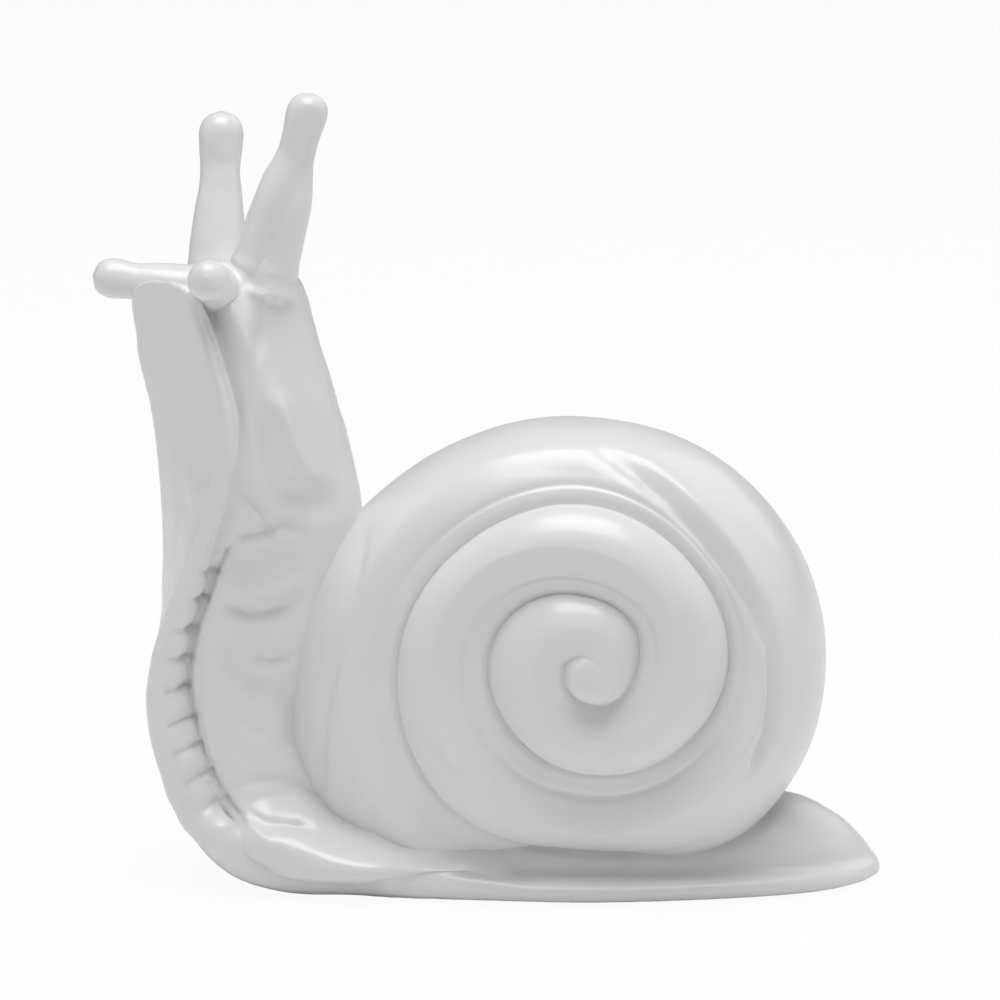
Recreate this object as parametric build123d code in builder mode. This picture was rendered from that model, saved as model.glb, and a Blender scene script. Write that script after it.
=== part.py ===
"""Snail figurine: a cast foot, neck and head, a coiled shell, four pinned tentacles and a felt base.

The frame is +X towards the tail, -Y on the side where the shell's spiral shows, +Z up.
The origin lies on the underside of the felt, below the shell. All lengths are millimetres.
"""

import os
from math import cos, pi, radians, sin, tan

from build123d import *

os.makedirs("parts", exist_ok=True)

# Foot and sole
tail_reach = 58.6
foot_half_width = 21.5
foot_margin_thickness = 4.5
sole_crown = 0.8
sole_trim = 0.6
front_reach = 68.2
lip_height = 102.5
lip_rise = 3.4

# Trunk, neck and head
trunk_half_width = 16.0
trunk_half_depth = 12.0
trunk_height = 4.0
neck_half_width = 11.2
neck_half_depth = 16.3
neck_centre_depth = 18.8
rear_fullness = 0.73
corner_depth_share = 0.8
head_rise = 12.5
head_twist_angle = 43.0

# Shell
apex_x = 7.5
apex_y = 16.0
apex_height = 44.0
shell_yaw_angle = 6.0
shell_tilt_angle = 5.0
shell_radius = 45.0
shell_offset_x = 4.8
shell_offset_z = 5.0
shell_near_depth = 13.5
shell_far_depth = 43.5
suture_radius = 34.0
suture_depth = 5.0
suture_wall = 3.2
ledge_width = 10.5
ledge_fall = 0.45
seat_clearance = 0.05
seat_floor = 3.4

# Felt base
felt_thickness = 1.0
felt_proud = 0.4
felt_inset = 5.4
felt_clearance = 0.15

# Upper tentacles, which carry the eyes
left_stalk_length = 27.7
left_stalk_base_radius = 5.9
left_stalk_waist_radius = 3.2
left_stalk_waist_drop = 7.3
left_eye_radius = 3.5
right_stalk_length = 22.9
right_stalk_base_radius = 5.3
right_stalk_waist_radius = 3.5
right_stalk_waist_drop = 5.8
right_eye_radius = 3.9
stalk_root = 4.0
stalk_half_spacing = 6.4
stalk_depth = 18.0
stalk_lift = 1.5
stalk_lean_angle = 12.5
stalk_splay_angle = 12.0

# Lower tentacles
feeler_length = 12.6
feeler_root = 4.0
feeler_base_radius = 4.3
feeler_waist_radius = 3.2
feeler_waist_drop = 3.5
feeler_tip_radius = 3.5
feeler_half_spacing = 4.2
feeler_depth = 9.0
feeler_drop = 0.4
feeler_splay_angle = 45.0
feeler_tilt_angle = 18.0

# Pins through the tentacles' roots and dowels between shell and foot
pin_radius = 0.6
stalk_pin_half_length = 8.0
feeler_pin_half_length = 3.6
pin_clearance = 0.05
dowel_radius = 1.5
dowel_half_length = 5.0
dowel_clearance = 0.1
front_dowel_height = 36.0
front_dowel_x = 41.0
rear_dowel_height = 9.5
rear_dowel_x = 39.0
rear_dowel_tilt_angle = 35.0

# Every cutter runs past what it cuts by this much
overrun = 30.0

# Stations of the sole along the ground, from the tail tip towards the bend
ground_x_shares = (1.0, 0.98, 0.92, 0.78, 0.5, 0.12, -0.26, -0.55)
ground_width_shares = (0.065, 0.235, 0.475, 0.725, 0.91, 1.0, 0.92, 0.82)
ground_thickness_shares = (0.4, 0.6, 0.75, 0.85, 0.9, 0.9, 0.95, 1.0)
ground_round_shares = (0.6, 0.8, 1.0, 1.1, 1.2, 1.2, 1.2, 1.2)

# Stations of the sole round the bend and up the front of the neck
front_x_shares = (0.645, 0.8, 0.91, 0.977, 1.0, 0.976, 0.944, 0.927, 0.93, 0.969, 1.006)
front_z_shares = (0.0, 0.031, 0.112, 0.224, 0.341, 0.449, 0.566, 0.683, 0.8, 0.907, 1.0)
front_pitch_angles = (0.0, 30.0, 58.0, 80.0, 90.0, 95.0, 97.0, 93.0, 88.0, 82.0, 80.0)
front_width_shares = (0.772, 0.74, 0.726, 0.726, 0.716, 0.707, 0.693, 0.651, 0.628, 0.535, 0.4)
front_thickness_shares = (1.1, 1.33, 1.64, 1.69, 1.47, 1.16, 0.93, 0.85, 0.78, 0.7, 0.62)
front_round_shares = (1.1, 0.9, 0.7, 0.5, 0.45, 0.45, 0.45, 0.45, 0.45, 0.45, 0.45)
front_twist_shares = (0.0, 0.0, 0.0, 0.0, 0.0, 0.07, 0.28, 0.53, 0.79, 0.91, 1.0)
lip_rise_shares = (0.7, 1.0)
lip_width_shares = (0.298, 0.135)

# Stations of the trunk inside the foot: place along the ground, height, width and depth
trunk_x_shares = (0.98, 0.94, 0.86, 0.7, 0.42, 0.08, -0.26)
trunk_height_shares = (0.4, 0.5, 0.6, 0.7, 0.8, 1.0, 1.6)
trunk_width_shares = (0.08, 0.28, 0.55, 0.78, 0.95, 1.0, 1.04)
trunk_depth_shares = (0.1, 0.32, 0.62, 0.9, 1.0, 1.0, 1.0)
trunk_corner_shares = (0.7, 0.7, 0.75, 0.8, 0.85, 0.9, 0.95)

# Stations where the trunk turns up into the neck
turn_x_shares = (0.44, 0.6, 0.69)
turn_z_shares = (0.1, 0.17, 0.255)
turn_pitch_angles = (15.0, 42.0, 64.0)
turn_width_shares = (1.45, 1.22, 1.06)
turn_depth_shares = (0.76, 0.86, 0.93)
turn_corner_shares = (1.0, 1.15, 1.18)

# The neck behind the sole's stations from the fifth up, then the head above the last of them
neck_from_index = 4
last_index = len(front_x_shares) - 1
neck_centre_shares = (0.99, 1.0, 0.97, 0.905, 0.825, 0.8, 0.8)
neck_width_shares = (1.0, 1.0, 0.98, 0.95, 0.91, 0.89)
neck_depth_shares = (0.98, 1.0, 0.965, 0.91, 0.815, 0.785)
neck_corner_shares = (1.14, 1.12, 1.08, 1.02, 0.95, 0.88)
head_rise_shares = (0.36, 0.68, 0.92, 1.0)
head_width_shares = (0.87, 0.8, 0.5, 0.12)
head_depth_shares = (0.76, 0.68, 0.42, 0.1)
head_corner_shares = (0.85, 0.8, 0.8, 0.8)

# A tentacle's root inside the head as a share of its base, then its taper from base to waist
root_radius_share = 0.72
taper_place_shares = (0.12, 0.55, 0.8)
taper_radius_shares = (0.98, 0.85, 0.46)

# The felt runs from this station of the sole to this share of the front reach
felt_from_index = 2
felt_front_share = 0.655

# The shell's outline at every eighth turn, starting towards the tail
outline_shares = (0.985, 0.935, 0.89, 0.93, 1.085, 1.2, 0.86, 0.98)

# The shell's size at levels from the apex side to the far side
near_level_shares = (1.0, 0.93, 0.8, 0.52, 0.11)
near_scale_shares = (0.1, 0.33, 0.53, 0.74, 0.89)
far_level_shares = (0.15, 0.35, 0.58, 0.76, 0.9, 0.98, 1.0)
far_scale_shares = (0.98, 1.0, 0.96, 0.84, 0.62, 0.35, 0.1)

# The groove between the whorls, at every quarter turn, from half a turn before the first
quarter_angle = 90
suture_radius_shares = (0.103, 0.176, 0.266, 0.401, 0.493, 0.606, 0.728, 0.837, 0.966, 1.094)
suture_level_shares = (0.98, 0.98, 0.955, 0.9, 0.92, 0.81, 0.66, 0.41, 0.66, 0.65)
suture_depth_shares = (0.2, 0.4, 0.55, 0.65, 0.7, 0.8, 0.9, 1.0, 0.95, 0.8)
ledge_width_shares = (0.25, 0.35, 0.5, 0.7, 0.85, 1.0, 1.0, 0.75, 1.0, 1.0)
ledge_place = 0.45
ledge_depth_share = 0.6
groove_step_angle = 15
groove_end_angle = 615

def between(shares, place):
    """The value of a table at a place between its entries, along a smooth curve through them."""
    last = len(shares) - 1
    index = min(max(int(place), 0), last - 1)
    before, start, end, after = (shares[min(max(index + step, 0), last)] for step in (-1, 0, 1, 2))
    t = place - index
    rise = (end - before) / 2
    fall = (after - start) / 2
    ease = t * t * (3 - 2 * t)
    return start + (end - start) * ease + rise * t * (1 - t) ** 2 - fall * t * t * (1 - t)


def sole_section(plane, half_width, thickness, round_share):
    """A section across the foot: a flat sole, margins rounded more below, and a slightly crowned top."""
    edge = thickness / 2
    flat = max(half_width - edge, edge / 4)
    sole = max(half_width - thickness * round_share, half_width / 4)
    crown = thickness + sole_crown * flat / foot_half_width
    corner = 1 - cos(pi / 4)
    under = (half_width - corner * (half_width - sole), edge * corner)
    over = (half_width - corner * (half_width - flat), thickness - edge * corner)
    with BuildSketch(plane) as section:
        with BuildLine():
            Line((-sole, 0), (sole, 0))
            Spline((sole, 0), under, (half_width, edge), over, (flat, thickness), tangents=[(1, 0), (-1, 0)])
            Spline((flat, thickness), (0, crown), (-flat, thickness))
            Spline(
                (-flat, thickness),
                (-over[0], over[1]),
                (-half_width, edge),
                (-under[0], under[1]),
                (-sole, 0),
                tangents=[(-1, 0), (1, 0)],
            )
        make_face()
    return section.sketch


def flesh_section(plane, half_width, half_depth, corner_share):
    """A section across the trunk, neck or head: oval behind, with fuller corners towards the sole."""
    rear = (half_width * rear_fullness, half_depth * rear_fullness)
    corner = (half_width * corner_share, -half_depth * corner_depth_share)
    with BuildSketch(plane) as section:
        with BuildLine():
            Spline(
                [
                    (half_width, 0),
                    rear,
                    (0, half_depth),
                    (-rear[0], rear[1]),
                    (-half_width, 0),
                    (-corner[0], corner[1]),
                    (0, -half_depth),
                    corner,
                ],
                periodic=True,
            )
        make_face()
    return section.sketch


def shell_section(level, scale, grow=0.0):
    """A section of the shell's outer form at a level along the coil's axis."""
    turn = 2 * pi / len(outline_shares)
    radii = [shell_radius * scale * share + grow for share in outline_shares]
    with BuildSketch(coil.offset(level)) as section:
        with BuildLine():
            Spline(
                [
                    (-shell_offset_x * scale + radius * cos(turn * i), -shell_offset_z * scale + radius * sin(turn * i))
                    for i, radius in enumerate(radii)
                ],
                periodic=True,
            )
        make_face()
    return section.sketch


def shell_sections(grow=0.0):
    """Sections of the shell's outer form, grown all round by a clearance."""
    near = [
        shell_section((shell_near_depth + grow) * level, scale, grow)
        for level, scale in zip(near_level_shares, near_scale_shares)
    ]
    far = [
        shell_section(-(shell_far_depth + grow) * level, scale, grow)
        for level, scale in zip(far_level_shares, far_scale_shares)
    ]
    return near + far


def groove_section(angle):
    """The groove's section at an angle: the inner whorl's round wall, then a ledge up to the next whorl's crest."""
    place = angle / quarter_angle + 2
    outward = coil.x_dir * cos(radians(angle)) + coil.y_dir * sin(radians(angle))
    centre = (
        coil.origin
        + outward * (suture_radius * between(suture_radius_shares, place))
        + coil.z_dir * (shell_near_depth * between(suture_level_shares, place))
    )
    depth = suture_depth * between(suture_depth_shares, place)
    wall = suture_wall * between(suture_depth_shares, place)
    width = ledge_width * between(ledge_width_shares, place)
    ledge = (width * ledge_place, -width * ledge_place * ledge_fall - depth * ledge_depth_share)
    crest = (width, depth / 8 - width * ledge_fall)
    with BuildSketch(Plane(origin=centre, x_dir=outward, z_dir=outward.cross(coil.z_dir))) as section:
        with BuildLine():
            ThreePointArc((-wall, depth / 3), (-wall / 4, -depth / 4), (0, -depth))
            ThreePointArc((0, -depth), ledge, crest)
            Line(crest, (width, 2 * depth))
            Line((width, 2 * depth), (-wall, 2 * depth))
            Line((-wall, 2 * depth), (-wall, depth / 3))
        make_face()
    return section.sketch


# The sole is lofted a little low and then trimmed flat
sole_level = felt_proud - sole_trim


def front_plane(index, depth=0.0):
    """The plane of a sole station up the front, at a depth behind the sole, turned about the neck."""
    pitch = radians(front_pitch_angles[index])
    centre = neck_centre_depth * neck_centre_shares[max(index - neck_from_index, 0)]
    upright = Plane(
        origin=(-front_reach * front_x_shares[index], 0, sole_level + lip_height * front_z_shares[index]),
        x_dir=(0, -1, 0),
        z_dir=(-cos(pitch), 0, sin(pitch)),
    )
    turned = Plane(upright.from_local_coords((0, centre, 0)), upright.x_dir, upright.z_dir).rotated(
        (0, 0, head_twist_angle * front_twist_shares[index])
    )
    return Plane(turned.from_local_coords((0, depth - centre, 0)), turned.x_dir, turned.z_dir)


def tentacle_profile(length, root, base_radius, waist_radius, waist_drop, tip_radius):
    """Half the outline of a tapered tentacle with a rounded knob, for turning about its axis."""
    waist = length - waist_drop
    knob = tip_radius * cos(pi / 4)
    taper = [
        (waist_radius + (base_radius - waist_radius) * radius, waist * place)
        for place, radius in zip(taper_place_shares, taper_radius_shares)
    ]
    with BuildSketch(Plane.XZ) as profile:
        with BuildLine():
            Spline(
                [(base_radius * root_radius_share, -root), (base_radius, -root / 8)]
                + taper
                + [(waist_radius, waist), (tip_radius, length)],
                tangents=[(0, 1), (0, 1)],
            )
            ThreePointArc((tip_radius, length), (knob, length + knob), (0, length + tip_radius))
            Line((0, length + tip_radius), (0, -root))
            Line((0, -root), (base_radius * root_radius_share, -root))
        make_face()
    return profile.sketch


def round_pin(plane, half_length, radius):
    """A straight round pin, half on each side of a plane and square to it."""
    with BuildPart(plane) as pin:
        Cylinder(radius, 2 * half_length)
    return pin.part


# The coil's axis leans a little towards the head and downwards on the side that shows
coil = Plane(
    origin=(apex_x, -apex_y, apex_height),
    x_dir=(cos(radians(shell_yaw_angle)), -sin(radians(shell_yaw_angle)), 0),
    z_dir=(-sin(radians(shell_yaw_angle)), -cos(radians(shell_yaw_angle)), 0),
).rotated((shell_tilt_angle, 0, 0))
underside = Plane.XY.offset(felt_proud)

# Shell: a rounded form, with a groove cut half a turn at a time from the apex to the foot
with BuildPart() as shell:
    loft(sections=shell_sections())
    for start in range(-2 * quarter_angle, groove_end_angle, 2 * quarter_angle):
        stop = min(start + 2 * quarter_angle, groove_end_angle)
        loft(
            sections=[groove_section(angle) for angle in range(start, stop + 1, groove_step_angle)],
            mode=Mode.SUBTRACT,
        )
    with BuildSketch(Plane.XY.offset(seat_floor)):
        Rectangle(4 * tail_reach, 4 * tail_reach)
    extrude(amount=-overrun, mode=Mode.SUBTRACT)

# The room the shell takes in the foot, a clearance larger all round
with BuildPart() as seat_room:
    loft(sections=shell_sections(seat_clearance))
    with BuildSketch(Plane.XY.offset(seat_floor - seat_clearance)):
        Rectangle(4 * tail_reach, 4 * tail_reach)
    extrude(amount=-overrun, mode=Mode.SUBTRACT)

# Sections of the foot, from the tail tip round to the lip under the mouth
foot_sections = [
    sole_section(
        Plane(origin=(tail_reach * x, 0, sole_level), x_dir=(0, -1, 0), z_dir=(-1, 0, 0)),
        foot_half_width * width,
        foot_margin_thickness * thickness,
        round_share,
    )
    for x, width, thickness, round_share in zip(
        ground_x_shares, ground_width_shares, ground_thickness_shares, ground_round_shares
    )
]
foot_sections += [
    sole_section(front_plane(index), foot_half_width * width, foot_margin_thickness * thickness, round_share)
    for index, (width, thickness, round_share) in enumerate(
        zip(front_width_shares, front_thickness_shares, front_round_shares)
    )
]
foot_sections += [
    sole_section(
        front_plane(last_index).offset(lip_rise * rise),
        foot_half_width * width,
        foot_margin_thickness * front_thickness_shares[-1] * (1 - rise / 2),
        front_round_shares[-1],
    )
    for rise, width in zip(lip_rise_shares, lip_width_shares)
]

# Sections of the trunk, neck and head
trunk_sections = [
    flesh_section(
        Plane(origin=(tail_reach * x, 0, felt_proud + trunk_height * height), x_dir=(0, -1, 0), z_dir=(-1, 0, 0)),
        trunk_half_width * width,
        trunk_half_depth * depth,
        corner,
    )
    for x, height, width, depth, corner in zip(
        trunk_x_shares, trunk_height_shares, trunk_width_shares, trunk_depth_shares, trunk_corner_shares
    )
]
trunk_sections += [
    flesh_section(
        Plane(
            origin=(-front_reach * x, 0, felt_proud + lip_height * z),
            x_dir=(0, -1, 0),
            z_dir=(-cos(radians(pitch)), 0, sin(radians(pitch))),
        ),
        neck_half_width * width,
        neck_half_depth * depth,
        corner,
    )
    for x, z, pitch, width, depth, corner in zip(
        turn_x_shares, turn_z_shares, turn_pitch_angles, turn_width_shares, turn_depth_shares, turn_corner_shares
    )
]
trunk_sections += [
    flesh_section(
        front_plane(neck_from_index + index, neck_centre_depth * centre),
        neck_half_width * width,
        neck_half_depth * depth,
        corner,
    )
    for index, (centre, width, depth, corner) in enumerate(
        zip(neck_centre_shares, neck_width_shares, neck_depth_shares, neck_corner_shares)
    )
]
head_index = neck_from_index + len(neck_width_shares) - 1
trunk_sections += [
    flesh_section(
        front_plane(head_index, neck_centre_depth * neck_centre_shares[-1]).offset(head_rise * rise),
        neck_half_width * width,
        neck_half_depth * depth,
        corner,
    )
    for rise, width, depth, corner in zip(
        head_rise_shares, head_width_shares, head_depth_shares, head_corner_shares
    )
]

head_plane = front_plane(last_index)
felt_outline = [
    (tail_reach * x, foot_half_width * width - felt_inset)
    for x, width in zip(ground_x_shares[felt_from_index:], ground_width_shares[felt_from_index:])
]
felt_outline.append((-front_reach * felt_front_share, foot_half_width * front_width_shares[0] - felt_inset))


def felt_sketch(plane, grow=0.0):
    """The felt's outline, inside the sole's edge, grown all round by a clearance."""
    side = [(x, half_width + grow) for x, half_width in felt_outline]
    side[0] = (side[0][0] + grow, side[0][1])
    side[-1] = (side[-1][0] - grow, side[-1][1])
    with BuildSketch(plane) as section:
        with BuildLine():
            Spline(side)
            Line(side[-1], (side[-1][0], -side[-1][1]))
            Spline([(x, -half_width) for x, half_width in reversed(side)])
            Line((side[0][0], -side[0][1]), side[0])
        make_face()
    return section.sketch


def head_point_plane(side, depth, lift, forward, sideways, upward):
    """A plane at a tentacle's seat on the head, square to the tentacle's own direction."""
    seat = head_plane.from_local_coords((side, depth, 0)) + Vector(0, 0, lift)
    direction = head_plane.y_dir * -forward + head_plane.x_dir * sideways + Vector(0, 0, upward)
    return Plane(origin=seat, z_dir=direction)


# Where each tentacle stands: upper ones lean back and outwards, lower ones point forwards and outwards
tentacles = {}
stalks = (
    (
        "left",
        1,
        tentacle_profile(
            left_stalk_length,
            stalk_root,
            left_stalk_base_radius,
            left_stalk_waist_radius,
            left_stalk_waist_drop,
            left_eye_radius,
        ),
    ),
    (
        "right",
        -1,
        tentacle_profile(
            right_stalk_length,
            stalk_root,
            right_stalk_base_radius,
            right_stalk_waist_radius,
            right_stalk_waist_drop,
            right_eye_radius,
        ),
    ),
)
feeler_profile = tentacle_profile(
    feeler_length, feeler_root, feeler_base_radius, feeler_waist_radius, feeler_waist_drop, feeler_tip_radius
)
for name, side, stalk_profile in stalks:
    tentacles["upper_tentacle_" + name] = (
        head_point_plane(
            side * stalk_half_spacing,
            stalk_depth,
            stalk_lift,
            -tan(radians(stalk_lean_angle)),
            side * tan(radians(stalk_splay_angle)),
            1,
        ),
        stalk_profile,
        stalk_pin_half_length,
    )
    tentacles["lower_tentacle_" + name] = (
        head_point_plane(
            side * feeler_half_spacing,
            feeler_depth,
            -feeler_drop,
            cos(radians(feeler_splay_angle)),
            side * sin(radians(feeler_splay_angle)),
            tan(radians(feeler_tilt_angle)),
        ),
        feeler_profile,
        feeler_pin_half_length,
    )

# The dowels run from the neck and from the tail's ridge into the shell
dowel_planes = {
    "shell_dowel_front": Plane(origin=(-front_dowel_x, 0, front_dowel_height), z_dir=(1, 0, 0)),
    "shell_dowel_rear": Plane(
        origin=(rear_dowel_x, 0, rear_dowel_height),
        z_dir=(-sin(radians(rear_dowel_tilt_angle)), 0, cos(radians(rear_dowel_tilt_angle))),
    ),
}

with BuildPart() as casting:
    loft(sections=foot_sections)
    loft(sections=trunk_sections)
    with BuildSketch(underside):
        Rectangle(4 * tail_reach, 4 * tail_reach)
    extrude(amount=-overrun, mode=Mode.SUBTRACT)
    add(seat_room.part, mode=Mode.SUBTRACT)

pieces = {}
pin_bores = []
for name, (plane, profile, pin_half_length) in tentacles.items():
    with BuildPart() as tentacle:
        add(plane * revolve(profile, axis=Axis.Z, mode=Mode.PRIVATE))
        add(casting.part, mode=Mode.SUBTRACT)
        for other in pieces.values():
            add(other, mode=Mode.SUBTRACT)
        add(round_pin(plane, pin_half_length + pin_clearance, pin_radius + pin_clearance), mode=Mode.SUBTRACT)
    pin_bores.append(round_pin(plane, pin_half_length + pin_clearance, pin_radius + pin_clearance))
    pieces[name] = max(tentacle.part.solids(), key=lambda solid: solid.volume)
for name, (plane, profile, pin_half_length) in tentacles.items():
    pieces[name.replace("tentacle", "pin")] = round_pin(plane, pin_half_length, pin_radius)

with BuildPart() as body:
    add(casting.part)
    for bore in pin_bores:
        add(bore, mode=Mode.SUBTRACT)
    for plane in dowel_planes.values():
        add(
            round_pin(plane, dowel_half_length + dowel_clearance, dowel_radius + dowel_clearance),
            mode=Mode.SUBTRACT,
        )
    add(felt_sketch(underside, felt_clearance))
    extrude(amount=felt_thickness - felt_proud, mode=Mode.SUBTRACT)

with BuildPart() as drilled_shell:
    add(shell.part)
    for plane in dowel_planes.values():
        add(
            round_pin(plane, dowel_half_length + dowel_clearance, dowel_radius + dowel_clearance),
            mode=Mode.SUBTRACT,
        )

with BuildPart() as felt_base:
    add(felt_sketch(Plane.XY))
    extrude(amount=felt_thickness)

pieces["body"] = body.part
pieces["shell"] = drilled_shell.part
pieces["felt_base"] = felt_base.part
for name, plane in dowel_planes.items():
    pieces[name] = round_pin(plane, dowel_half_length, dowel_radius)
for name, piece in pieces.items():
    piece.label = name
    export_step(piece, "parts/" + name + ".step")
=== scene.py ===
"""A glossy white snail figurine: cast foot, neck and head, coiled shell, four tentacles, felt base.

Lengths of the figurine are millimetres in the part's own frame: +X towards the tail, -Y on the
side where the spiral shows, +Z up. They become metres when a piece is placed.
"""

import logging
import math
from dataclasses import dataclass
from enum import Enum
from typing import Callable, Sequence

import bmesh
import bpy
import numpy as np
from mathutils import Matrix, Vector, noise
from mathutils.kdtree import KDTree


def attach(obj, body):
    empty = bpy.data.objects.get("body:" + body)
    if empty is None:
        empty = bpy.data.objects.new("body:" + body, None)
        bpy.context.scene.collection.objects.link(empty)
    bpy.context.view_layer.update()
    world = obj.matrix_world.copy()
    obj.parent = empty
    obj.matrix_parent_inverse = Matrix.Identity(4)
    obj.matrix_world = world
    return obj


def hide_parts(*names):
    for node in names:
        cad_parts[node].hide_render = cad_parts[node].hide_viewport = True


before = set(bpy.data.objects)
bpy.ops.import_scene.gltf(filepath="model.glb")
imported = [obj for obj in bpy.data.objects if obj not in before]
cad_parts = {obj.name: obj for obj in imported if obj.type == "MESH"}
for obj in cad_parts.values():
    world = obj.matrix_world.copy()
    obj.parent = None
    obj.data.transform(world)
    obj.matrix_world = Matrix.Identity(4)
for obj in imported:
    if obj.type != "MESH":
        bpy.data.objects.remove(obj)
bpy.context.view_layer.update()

LOG = logging.getLogger("snail")
MM = 0.001
ROOT = "root"
SAME_POINT = 1e-4  # millimetres

Rows = np.ndarray
Skin = bmesh.types.BMesh
Place = Callable[[Rows, Rows], Rows]
Corners = Sequence[tuple[float, float]]


# Curves through tables


def along(table: Sequence, place: Rows) -> Rows:
    """Reads a table between its entries, on a smooth curve through them.

    Args:
        table: The entries, each a number or a row of numbers.
        place: Where to read, counted in entries from the first.

    Returns:
        The values, one row for each place.
    """
    rows = np.asarray(table, float)
    last = len(rows) - 1
    place = np.clip(place, 0, last)
    index = np.minimum(place.astype(int), last - 1)
    t = place - index
    if rows.ndim > 1:
        t = t[..., None]
    start, end = rows[index], rows[index + 1]
    rise = (end - rows[np.maximum(index - 1, 0)]) / 2
    fall = (rows[np.minimum(index + 2, last)] - start) / 2
    return start + (end - start) * t * t * (3 - 2 * t) + rise * t * (1 - t) ** 2 - fall * t * t * (1 - t)


def around(table: Sequence, turn: Rows) -> Rows:
    """Reads a table that runs once round and closes on itself.

    Args:
        table: The entries, evenly spread over a turn.
        turn: Where to read, in shares of a turn.

    Returns:
        The values, one row for each place.
    """
    rows = np.asarray(table, float)
    looped = np.concatenate([rows[-1:], rows, rows[:2]])
    return along(looped, (turn % 1.0) * len(rows) + 1)


def ease(value: Rows, low: float, high: float) -> Rows:
    """A smooth step from 0 at low to 1 at high, which may also run downwards."""
    t = np.clip((value - low) / (high - low), 0, 1)
    return t * t * (3 - 2 * t)


def bell(value: Rows, width: float) -> Rows:
    """A bump of height 1 at 0, which fades over a width."""
    return np.exp(-((value / width) ** 2))


def wander(points: Rows, size: float, seed: float) -> Rows:
    """Smooth random numbers from about -1 to 1 over points.

    Args:
        points: The points, in millimetres.
        size: How far apart the lumps are.
        seed: Moves the pattern, so that two of them differ.

    Returns:
        One number for each point.
    """
    shift = Vector((seed, -seed, seed / 2))
    return np.array([noise.noise(Vector(p) / size + shift) for p in points])


# Shader maths


class Signal:
    """A varying number in a material: Python arithmetic on it adds Math nodes."""

    def __init__(self, paint: "Paint", socket: bpy.types.NodeSocket) -> None:
        """Keeps the socket and the nodes it belongs to."""
        self.paint = paint
        self.socket = socket

    def __add__(self, other: "Signal | float") -> "Signal":
        """The sum of both."""
        return self.paint.maths("ADD", self, other)

    def __sub__(self, other: "Signal | float") -> "Signal":
        """This less the other."""
        return self.paint.maths("SUBTRACT", self, other)

    def __rsub__(self, other: float) -> "Signal":
        """The other less this."""
        return self.paint.maths("SUBTRACT", other, self)

    def __mul__(self, other: "Signal | float") -> "Signal":
        """The product of both."""
        return self.paint.maths("MULTIPLY", self, other)

    __radd__ = __add__
    __rmul__ = __mul__


class Paint:
    """The nodes of one procedural material, or of the world, while they are put together."""

    def __init__(self, owner: bpy.types.Material | bpy.types.World) -> None:
        """Leaves nothing but an output in the nodes.

        Args:
            owner: The material or world that they belong to.
        """
        owner.use_nodes = True
        self.owner = owner
        self.tree = owner.node_tree
        self.tree.nodes.clear()
        kind = "World" if isinstance(owner, bpy.types.World) else "Material"
        self.output = self.tree.nodes.new("ShaderNodeOutput" + kind)

    @classmethod
    def material(cls, name: str) -> "Paint":
        """A new, empty material."""
        return cls(bpy.data.materials.new(name))

    def node(self, kind: str, inputs: dict | None = None, out: int | str = 0, **settings) -> Signal:
        """Adds a node.

        Args:
            kind: The node's type.
            inputs: Values or signals, by the name or number of the input that each goes into.
            out: Which of its outputs is wanted.
            **settings: The node's own settings.

        Returns:
            The wanted output.
        """
        made = self.tree.nodes.new(kind)
        for key, value in settings.items():
            setattr(made, key, value)
        for key, value in (inputs or {}).items():
            self.feed(made.inputs[key], value)
        return Signal(self, made.outputs[out])

    def maths(self, operation: str, *values: "Signal | float") -> Signal:
        """Adds a Math node on signals and numbers."""
        return self.node("ShaderNodeMath", dict(enumerate(values)), operation=operation)

    def feed(self, socket: bpy.types.NodeSocket, value: "Signal | float | tuple") -> None:
        """Links a signal to a socket, or sets the socket's own value.

        Args:
            socket: The socket.
            value: What goes into it.
        """
        if isinstance(value, Signal):
            self.tree.links.new(value.socket, socket)
        else:
            socket.default_value = value

    def mix(self, share: Signal, first: tuple, second: tuple) -> Signal:
        """A colour between two, by a share."""
        return self.node("ShaderNodeMix", {0: share, 6: first, 7: second}, out=2, data_type="RGBA")

    def speckle(self, scale: float, detail: float = 3.0) -> Signal:
        """Noise from 0 to 1, over the object's own frame."""
        places = self.node("ShaderNodeTexCoord", out="Object")
        return self.node("ShaderNodeTexNoise", {"Vector": places, "Scale": scale, "Detail": detail})

    def bump(self, height: Signal, depth: float, strength: float) -> Signal:
        """Normals that follow a height, whose full range is a depth in metres."""
        return self.node("ShaderNodeBump", {"Strength": strength, "Distance": depth, "Height": height})

    def finished(self, shader: Signal) -> bpy.types.Material | bpy.types.World:
        """Puts a shader on the surface, and gives the material or world."""
        self.feed(self.output.inputs["Surface"], shader)
        return self.owner

    def principled(self, inputs: dict) -> bpy.types.Material:
        """Finishes the material with a Principled shader."""
        return self.finished(self.node("ShaderNodeBsdfPrincipled", inputs))


def grey(value: float, warmth: float = 0.0) -> tuple[float, float, float, float]:
    """A grey with a touch of warmth."""
    return (value + warmth, value, value - warmth, 1.0)


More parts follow.
